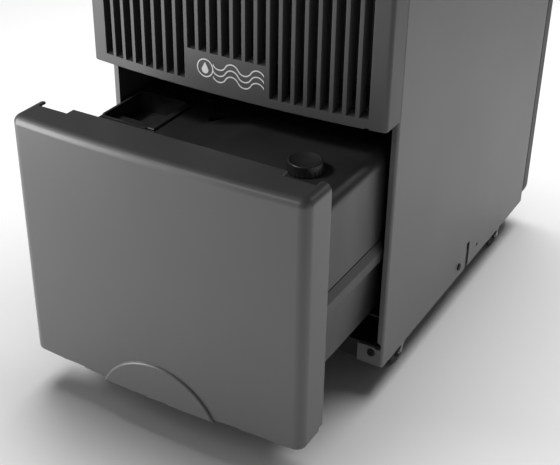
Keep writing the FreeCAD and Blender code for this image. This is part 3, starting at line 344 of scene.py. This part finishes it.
def surfaceMaterial(name, finish):
    # moulded plastic, powder coat or rubber: colour clouds, grain, worn edges and a little dust
    values = {**surfaceSet, **finish}
    material, tree, shader = newMaterial(name)
    base = values["color"]
    grain = useGroup(tree, mouldGrain,
                     {"Grain Size": values["grainSize"], "Cloud Size": values["cloudSize"]})
    wear = useGroup(tree, edgeMask, {"Width": values["edgeWidth"], "Breakup": values["edgeBreakup"]})
    dust = useGroup(tree, dustFilm, {"Amount": values["dust"], "Patch Size": values["dustPatch"]})
    color = blendColor(tree, grain.outputs["Cloud"],
                       scaled(base, 1 - values["cloud"]), scaled(base, 1 + values["cloud"]))
    edgeColor = tuple(min(1, part * values["edgeLift"] + values["edgeAdd"]) for part in base[:3]) + (1,)
    edge = mixMath(tree, "MULTIPLY", wear.outputs["Mask"], values["edgeAmount"])
    color = blendColor(tree, edge, color, edgeColor)
    color = blendColor(tree, dust.outputs["Mask"], color, values["dustColor"])
    tree.links.new(color, shader.inputs["Base Color"])
    smear = mixMath(tree, "MULTIPLY", dust.outputs["Smear"], values["smear"])
    uneven = mixMath(tree, "MULTIPLY", grain.outputs["Cloud"], values["uneven"])
    rough = mixMath(tree, "ADD", uneven, values["roughness"] - values["uneven"] / 2)
    tree.links.new(mixMath(tree, "ADD", rough, smear, True), shader.inputs["Roughness"])
    shader.inputs["Metallic"].default_value = values["metallic"]
    shader.inputs["Coat Weight"].default_value = values["coat"]
    shader.inputs["Coat Roughness"].default_value = values["coatRoughness"]
    soft = addNode(tree, "ShaderNodeBevel", [("Radius", values["softEdge"])], samples=4).outputs[0]
    addBump(tree, shader, values["bump"], values["bumpDepth"], grain.outputs["Height"], soft)
    return material


brushSet = {"lineSize": 30.0, "lineDetail": 5.0, "lineShade": 0.35, "dark": 0.72, "tarnish": 0.22,
            "tarnishLow": 0.1, "bumpDepth": 0.0002}


def brushedMaterial(name, finish):
    # bare or plated metal with fine lines along one way and cloudy tarnish
    values = {**brushSet, **finish}
    material, tree, shader = newMaterial(name)
    place = objectPlace(tree)
    lines = noiseAt(tree, stretched(tree, place, values["lines"]), values["lineSize"], values["lineDetail"])
    cloud = addNode(tree, "ShaderNodeTexVoronoi", [("Vector", place), ("Scale", values["cloudSize"])])
    dark = scaled(values["color"], values["dark"])
    color = blendColor(tree, cloud.outputs["Distance"], values["color"], dark)
    color = blendColor(tree, mixMath(tree, "MULTIPLY", lines, values["lineShade"]), color, dark)
    tree.links.new(color, shader.inputs["Base Color"])
    shader.inputs["Metallic"].default_value = 1.0
    tarnish = mixMath(tree, "MULTIPLY", lines, values["tarnish"])
    rough = mixMath(tree, "ADD", tarnish, values["roughness"] - values["tarnishLow"], True)
    tree.links.new(rough, shader.inputs["Roughness"])
    addBump(tree, shader, values["bump"], values["bumpDepth"], lines)
    return material


# the fins' gap colour is painted shade, for the dark seen between the fins
finSet = {"color": grey(0.6), "gapColor": grey(0.02), "pitch": 0.0018, "ridge": (-0.6, 0.6),
          "noiseSize": 35.0, "noiseDetail": 4.0, "dark": 0.7, "roughness": 0.3, "uneven": 0.2,
          "bump": 0.8, "bumpDepth": 0.0006}


def finMaterial(name, values):
    # a pack of thin upright fins, drawn as fine ridges with painted shade in the gaps between them
    material, tree, shader = newMaterial(name)
    place = objectPlace(tree)
    across = addNode(tree, "ShaderNodeSeparateXYZ", [(0, place)]).outputs["X"]
    phase = mixMath(tree, "MULTIPLY", across, 2 * math.pi / values["pitch"])
    ridge = remap(tree, mixMath(tree, "SINE", phase, 0.0), *values["ridge"])
    noise = noiseAt(tree, place, values["noiseSize"], values["noiseDetail"])
    metal = blendColor(tree, noise, values["color"], scaled(values["color"], values["dark"]))
    # ridges take the metal's colour, and the gaps between them take painted shade
    tree.links.new(blendColor(tree, ridge, values["gapColor"], metal), shader.inputs["Base Color"])
    tree.links.new(ridge, shader.inputs["Metallic"])
    uneven = mixMath(tree, "MULTIPLY", noise, values["uneven"])
    tree.links.new(mixMath(tree, "ADD", uneven, values["roughness"]), shader.inputs["Roughness"])
    addBump(tree, shader, values["bump"], values["bumpDepth"], ridge)
    return material


# the net's hole colour is painted shade, for the dark seen through its holes
netSet = {"color": grey(0.05), "dustyColor": grey(0.03), "holeColor": grey(0.004), "pitch": 0.0016,
          "thread": (0.1, 0.7), "noiseSize": 20.0, "noiseDetail": 5.0, "roughness": 0.75,
          "bump": 0.7, "bumpDepth": 0.0004}


def netMaterial(name, values):
    # a woven filter net: two crossing sets of threads over holes filled with painted shade
    material, tree, shader = newMaterial(name)
    place = objectPlace(tree)
    split = addNode(tree, "ShaderNodeSeparateXYZ", [(0, place)])
    threads = []
    for axis in ("X", "Z"):
        phase = mixMath(tree, "MULTIPLY", split.outputs[axis], 2 * math.pi / values["pitch"])
        threads.append(remap(tree, mixMath(tree, "SINE", phase, 0.0), *values["thread"]))
    weave = mixMath(tree, "MAXIMUM", threads[0], threads[1])
    noise = noiseAt(tree, place, values["noiseSize"], values["noiseDetail"])
    thread = blendColor(tree, noise, values["color"], values["dustyColor"])
    # threads take their own colour, and the holes between them take painted shade
    tree.links.new(blendColor(tree, weave, values["holeColor"], thread), shader.inputs["Base Color"])
    shader.inputs["Roughness"].default_value = values["roughness"]
    addBump(tree, shader, values["bump"], values["bumpDepth"], weave)
    return material


glassSet = {"color": grey(0.006), "dustColor": grey(0.4), "dust": 0.08, "dustPatch": 40.0,
            "smear": 0.12, "roughness": 0.06, "coatRoughness": 0.03}


def glassMaterial(name, values):
    # smoked display window with faint cleaning marks
    material, tree, shader = newMaterial(name)
    dust = useGroup(tree, dustFilm, {"Amount": values["dust"], "Patch Size": values["dustPatch"]})
    color = blendColor(tree, dust.outputs["Mask"], values["color"], values["dustColor"])
    tree.links.new(color, shader.inputs["Base Color"])
    smear = mixMath(tree, "MULTIPLY", dust.outputs["Smear"], values["smear"])
    tree.links.new(mixMath(tree, "ADD", smear, values["roughness"]), shader.inputs["Roughness"])
    shader.inputs["Coat Weight"].default_value = 1.0
    shader.inputs["Coat Roughness"].default_value = values["coatRoughness"]
    return material


litSet = {"color": grey(0.6), "dim": 0.75, "grainSize": 1500.0, "cloudSize": 120.0, "glow": 0.6,
          "roughness": 0.4}


def litMaterial(name, values):
    # pale backlit print with a slow unevenness in its glow
    material, tree, shader = newMaterial(name)
    grain = useGroup(tree, mouldGrain,
                     {"Grain Size": values["grainSize"], "Cloud Size": values["cloudSize"]})
    glow = blendColor(tree, grain.outputs["Cloud"], scaled(values["color"], values["dim"]), values["color"])
    tree.links.new(glow, shader.inputs["Base Color"])
    tree.links.new(glow, shader.inputs["Emission Color"])
    shader.inputs["Emission Strength"].default_value = values["glow"]
    shader.inputs["Roughness"].default_value = values["roughness"]
    return material


def camelName(slot):
    first, *others = slot.split("_")
    return first + "".join(word.capitalize() for word in others)


# one entry for each slot of moulded, painted or printed surface
finishes = {
    "base": {
        "color": grey(0.012), "roughness": 0.55, "grainSize": 900, "bump": 0.25},
    "cabinet_paint": {
        "color": grey(0.158), "roughness": 0.44, "grainSize": 1500, "bump": 0.10,
        "cloud": 0.04, "edgeLift": 1.6, "dust": 0.02, "softEdge": 0.0009, "smear": 0.01},
    "rear_plastic": {
        "color": grey(0.030), "roughness": 0.5, "grainSize": 1000, "bump": 0.25},
    "fascia_plastic": {
        "color": grey(0.068), "roughness": 0.42, "grainSize": 1200, "bump": 0.14,
        "dust": 0.06, "softEdge": 0.0008},
    "tank_front_plastic": {
        "color": grey(0.085), "roughness": 0.36, "grainSize": 1300, "bump": 0.10,
        "dust": 0.05, "cloud": 0.05, "softEdge": 0.0008, "coat": 0.25, "coatRoughness": 0.22},
    "tank_plastic": {
        "color": grey(0.020), "roughness": 0.34, "grainSize": 1100, "bump": 0.12, "dust": 0.05},
    "cap_plastic": {
        "color": grey(0.018), "roughness": 0.34, "grainSize": 1300, "bump": 0.08, "dust": 0.03},
    "emblem_print": {
        "color": grey(0.72), "roughness": 0.35, "grainSize": 1600, "bump": 0.04, "dust": 0.0},
    "inner_paint": {
        "color": grey(0.010), "roughness": 0.5, "grainSize": 1100, "bump": 0.1, "dust": 0.05},
    "compressor_paint": {
        "color": grey(0.012), "roughness": 0.3, "grainSize": 700, "bump": 0.12, "coat": 0.4},
    "rubber": {
        "color": grey(0.02), "roughness": 0.8, "grainSize": 600, "bump": 0.3},
    "wheel_rubber": {
        "color": grey(0.022), "roughness": 0.6, "grainSize": 700, "bump": 0.25, "dust": 0.3},
    "board": {
        "color": (0.012, 0.085, 0.035, 1), "roughness": 0.35, "grainSize": 500, "bump": 0.1, "coat": 0.5},
    "gloss_black": {
        "color": grey(0.008), "roughness": 0.16, "grainSize": 1500, "bump": 0.02,
        "coat": 0.6, "coatRoughness": 0.08, "dust": 0.06},
    "button_plastic": {
        "color": grey(0.09), "roughness": 0.3, "grainSize": 1500, "bump": 0.06},
    "inlet_plastic": {
        "color": grey(0.012), "roughness": 0.4, "grainSize": 1100, "bump": 0.15},
    "float_foam": {
        "color": grey(0.7), "roughness": 0.8, "grainSize": 500, "bump": 0.5},
    "screw_black": {
        "color": grey(0.015), "roughness": 0.38, "grainSize": 900, "bump": 0.1, "metallic": 0.6},
}
# bare and plated metals; "lines" is how far the brushing is squeezed each way
metals = {
    "plain_steel": {
        "color": grey(0.42, (1.0, 1.01, 1.03)), "roughness": 0.4,
        "lines": (1, 1, 12), "cloudSize": 60, "bump": 0.15},
    # dark zinc plate; its colour is also lowered as painted shade for the castor forks in the shade under
    # the cabinet
    "zinc_steel": {
        "color": grey(0.3, (1.0, 1.01, 1.04)), "roughness": 0.32,
        "lines": (8, 1, 1), "cloudSize": 120, "bump": 0.1},
    "copper": {
        "color": (0.68, 0.30, 0.17, 1), "roughness": 0.3,
        "lines": (1, 1, 6), "cloudSize": 40, "bump": 0.08},
}


def makeMaterials():
    made = {slot: surfaceMaterial(camelName(slot), values) for slot, values in finishes.items()}
    for slot, values in metals.items():
        made[slot] = brushedMaterial(camelName(slot), values)
    made["fin_aluminium"] = finMaterial("finAluminium", finSet)
    made["filter_net"] = netMaterial("filterNet", netSet)
    made["display_glass"] = glassMaterial("displayGlass", glassSet)
    return made


materials = makeMaterials()
slotOf = {entry["node"]: entry["material_slot"] for entry in frame["record"]["subparts"]}
for name, node in nodes.items():
    for slot in node.material_slots:
        slot.material = materials[slotOf[name]]
print("materials on", len(nodes), "nodes")


def prism(mesh, points, low, high):
    # a closed plate on an outline of points in plan
    rings = [[mesh.verts.new((x, y, z)) for x, y in points] for z in (low, high)]
    mesh.faces.new(list(reversed(rings[0])))
    mesh.faces.new(rings[1])
    count = len(points)
    for index in range(count):
        after = (index + 1) % count
        mesh.faces.new((rings[0][index], rings[0][after], rings[1][after], rings[1][index]))


def band(mesh, center, inner, outer, span, low, high, steps=40):
    # a flat ring, or part of one when span is less than a whole turn
    start, end = (math.radians(angle) for angle in span)
    whole = span[1] - span[0] >= 360
    rows = []
    for step in range(steps if whole else steps + 1):
        angle = start + (end - start) * step / steps
        row = []
        for radius, z in ((inner, low), (outer, low), (outer, high), (inner, high)):
            row.append(mesh.verts.new((center[0] + radius * math.cos(angle),
                                       center[1] + radius * math.sin(angle), z)))
        rows.append(row)
    for index in range(steps):
        near = rows[index]
        far = rows[(index + 1) % len(rows)]
        for corner in range(4):
            other = (corner + 1) % 4
            mesh.faces.new((near[corner], near[other], far[other], far[corner]))
    if not whole:
        mesh.faces.new(list(reversed(rows[0])))
        mesh.faces.new(rows[-1])


def finishPiece(name, mesh, body, material):
    # the mesh becomes a piece that rides on a body
    bmesh.ops.recalc_face_normals(mesh, faces=mesh.faces)
    data = bpy.data.meshes.new(name)
    mesh.to_mesh(data)
    mesh.free()
    piece = bpy.data.objects.new(name, data)
    bpy.context.scene.collection.objects.link(piece)
    data.materials.append(material)
    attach(piece, body)


def turned(points, center, degrees):
    angle = math.radians(degrees)
    cos = math.cos(angle)
    sin = math.sin(angle)
    return [(center[0] + x * cos - y * sin, center[1] + x * sin + y * cos) for x, y in points]


def bar(half, low, high):
    return [(-half, low), (half, low), (half, high), (-half, high)]


# signs on the keys; the shares are of the radius
signSet = {
    "radius": 0.0032,
    "line": 0.0006,
    "handFoot": 0.6,   # share of the line's width
    "height": 0.00004,
    "powerGap": (125, 415),
    "powerBar": (0.2, 1.15),
    "blades": 3,
    "bladeHalf": (0.30, 0.38),
    "bladeAt": (0.12, 0.60),
    "dropTip": 1.15,
    "dropRound": 0.62,
    "dropLow": 0.25,
    "dropTurn": 150,
    "hands": ((0, 0.62), (240, 0.50)),
}


def powerSign(mesh, center, low, high, values):
    radius = values["radius"]
    band(mesh, center, radius - values["line"], radius, values["powerGap"], low, high)
    foot, top = (radius * share for share in values["powerBar"])
    prism(mesh, turned(bar(values["line"] / 2, foot, top), center, 0), low, high)


def fanSign(mesh, center, low, high, values, steps=18):
    radius = values["radius"]
    blade = []
    for step in range(steps):
        angle = 2 * math.pi * step / steps
        blade.append((radius * (values["bladeAt"][0] + values["bladeHalf"][0] * math.cos(angle)),
                      radius * (values["bladeAt"][1] + values["bladeHalf"][1] * math.sin(angle))))
    for index in range(values["blades"]):
        prism(mesh, turned(blade, center, 360 / values["blades"] * index), low, high)


def dropSign(mesh, center, low, high, values, steps=24):
    radius = values["radius"]
    outline = [(0, radius * values["dropTip"])]
    for step in range(steps + 1):
        angle = math.radians(values["dropTurn"] * (1 - 2 * step / steps))
        outline.append((-radius * values["dropRound"] * math.sin(angle),
                        -radius * (values["dropLow"] + values["dropRound"] * math.cos(angle))))
    prism(mesh, turned(outline, center, 0), low, high)


def timerSign(mesh, center, low, high, values):
    radius = values["radius"]
    line = values["line"]
    band(mesh, center, radius - line, radius, (0, 360), low, high)
    for degrees, share in values["hands"]:
        hand = bar(line / 2, line * values["handFoot"], radius * share)
        prism(mesh, turned(hand, center, degrees), low, high)


def addSigns(values):
    signs = [powerSign, fanSign, dropSign, timerSign]
    keys = sorted(name for name in frame["bodies"] if name.startswith("button_"))
    for key, sign in zip(keys, signs):
        low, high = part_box(key)
        center = ((low.x + high.x) / 2, (low.y + high.y) / 2)
        mesh = bmesh.new()
        sign(mesh, center, high.z, high.z + values["height"], values)
        finishPiece("sign_" + key, mesh, key, materials["emblem_print"])


addSigns(signSet)
print("signs on the keys")

# two seven-bar digits on the display window, and a status dot on each side
digitSet = {
    "height": 0.016,
    "width": 0.009,
    "bar": 0.0017,
    "slant": 0.12,
    "gap": 0.0007,
    "pitch": 0.014,
    "thick": 0.0001,
    "shown": "50",
    "dotRadius": 0.0011,
    "dotHole": 0.35,   # share of the dot's radius
    "dotAt": (1.9, 0.4),   # shares of the pitch and the height
    "dotSteps": 24,
}
litBars = {"5": "afgcd", "0": "abcdef"}


def digitBars(values):
    half, tall = values["width"] / 2, values["height"] / 2
    return {
        "a": (0, tall, 90), "g": (0, 0, 90), "d": (0, -tall, 90),
        "f": (-half, tall / 2, 0), "b": (half, tall / 2, 0),
        "e": (-half, -tall / 2, 0), "c": (half, -tall / 2, 0),
    }


def addDigits(values):
    low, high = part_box("display_window")
    middle = ((low.x + high.x) / 2, (low.y + high.y) / 2)
    mesh = bmesh.new()
    bars = digitBars(values)
    half = values["bar"] / 2
    for index, digit in enumerate(values["shown"]):
        shift = (index - (len(values["shown"]) - 1) / 2) * values["pitch"]
        for letter in litBars[digit]:
            x, y, turn = bars[letter]
            length = values["width"] if turn else values["height"] / 2
            reach = length / 2 - values["gap"]
            shape = [(-half, -reach + half), (0, -reach), (half, -reach + half),
                     (half, reach - half), (0, reach), (-half, reach - half)]
            placed = turned(shape, (x, y), turn)
            slanted = [(middle[0] + shift + px + py * values["slant"], middle[1] + py) for px, py in placed]
            prism(mesh, slanted, high.z, high.z + values["thick"])
    across, up = values["dotAt"]
    for side in (-1, 1):
        center = (middle[0] + side * values["pitch"] * across, middle[1] + values["height"] * up)
        band(mesh, center, values["dotRadius"] * values["dotHole"], values["dotRadius"], (0, 360),
             high.z, high.z + values["thick"], values["dotSteps"])
    finishPiece("display_digits", mesh, "cabinet", litMaterial("litPrint", litSet))


addDigits(digitSet)
print("display digits")

# ribbed hub discs on both sides of each castor wheel
hubSet = {
    "proud": 0.0004,
    "sunk": 0.0006,
    "rim": (0.0115, 0.0135),
    "collar": (0.0034, 0.0052),
    "spokes": 6,
    "spokeHalf": 0.0008,
    "lap": 0.0003,   # how far a spoke runs into the rings at its ends
    "collarSteps": 28,
}


def hubSide(values, face):
    mesh = bmesh.new()
    inside = face - values["sunk"]
    outside = face + values["proud"]
    band(mesh, (0, 0), *values["rim"], (0, 360), inside, outside)
    band(mesh, (0, 0), *values["collar"], (0, 360), inside, outside, values["collarSteps"])
    spoke = bar(values["spokeHalf"], values["collar"][1] - values["lap"], values["rim"][0] + values["lap"])
    for index in range(values["spokes"]):
        prism(mesh, turned(spoke, (0, 0), 360 * index / values["spokes"]), inside, outside)
    return mesh


def addHubs(values):
    wheels = [name for name in nodes if name.startswith("castor_wheel_")]
    for wheel in wheels:
        low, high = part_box(wheel)
        center = Matrix.Translation((low + high) / 2)
        mesh = bmesh.new()
        for side in (-1, 1):
            part = hubSide(values, (high.x - low.x) / 2)
            part.transform(center @ Matrix.Rotation(side * math.pi / 2, 4, "Y"))
            data = bpy.data.meshes.new("hubPart")
            part.to_mesh(data)
            part.free()
            mesh.from_mesh(data)
            bpy.data.meshes.remove(data)
        place = wheel.replace("castor_wheel_", "")
        finishPiece("hub_" + place, mesh, "wheel_" + place, materials["wheel_rubber"])


addHubs(hubSet)
print("hubs on the wheels")
